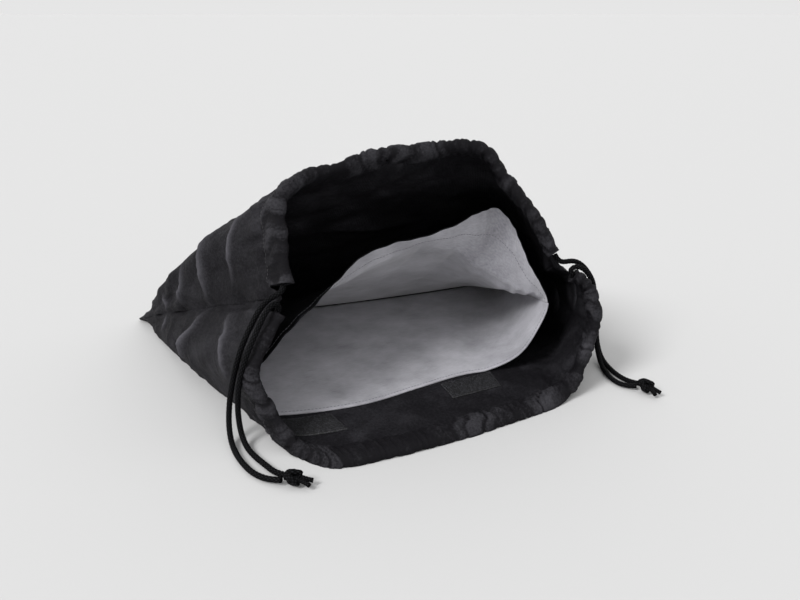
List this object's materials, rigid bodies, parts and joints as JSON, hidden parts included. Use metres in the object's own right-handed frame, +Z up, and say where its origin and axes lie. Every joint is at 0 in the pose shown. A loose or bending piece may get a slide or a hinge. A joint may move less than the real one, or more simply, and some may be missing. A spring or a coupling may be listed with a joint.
{
  "type": "drawstring helmet bag",
  "caption": "Soft black cloth bag lying open on its side, with a gathered drawcord channel round the mouth, knotted cord ends, a lined inner pouch and two hook strips.",
  "frame": {"origin": "on the floor under the lower panel, midway between the two bottom corners, just behind the hem of the lower lip", "axes": "+X along the mouth from the left side seam to the right one, +Y from the mouth back to the bottom seam, +Z up"},
  "size_m": [0.454, 0.3889, 0.2196],
  "materials": {
    "black_polyester": "matt woven",
    "hem_polyester": "matt woven, gathered",
    "grey_lining": "brushed",
    "hook_tape": "fuzzy hooks",
    "black_cord": "braided"
  },
  "bodies": {
    "root": {"lower_panel": "black_polyester", "upper_panel": "black_polyester", "hem_lower": "hem_polyester", "hem_upper": "hem_polyester", "channel_cord_lower": "black_cord", "channel_cord_upper": "black_cord", "pouch_lower": "grey_lining", "pouch_upper": "grey_lining", "hook_strip_left": "hook_tape", "hook_strip_right": "hook_tape", "cord_left_outer": "black_cord", "cord_left_inner": "black_cord", "cord_right_outer": "black_cord", "cord_right_inner": "black_cord", "knot_left": "black_cord", "knot_right": "black_cord"}
  },
  "joints": []
}
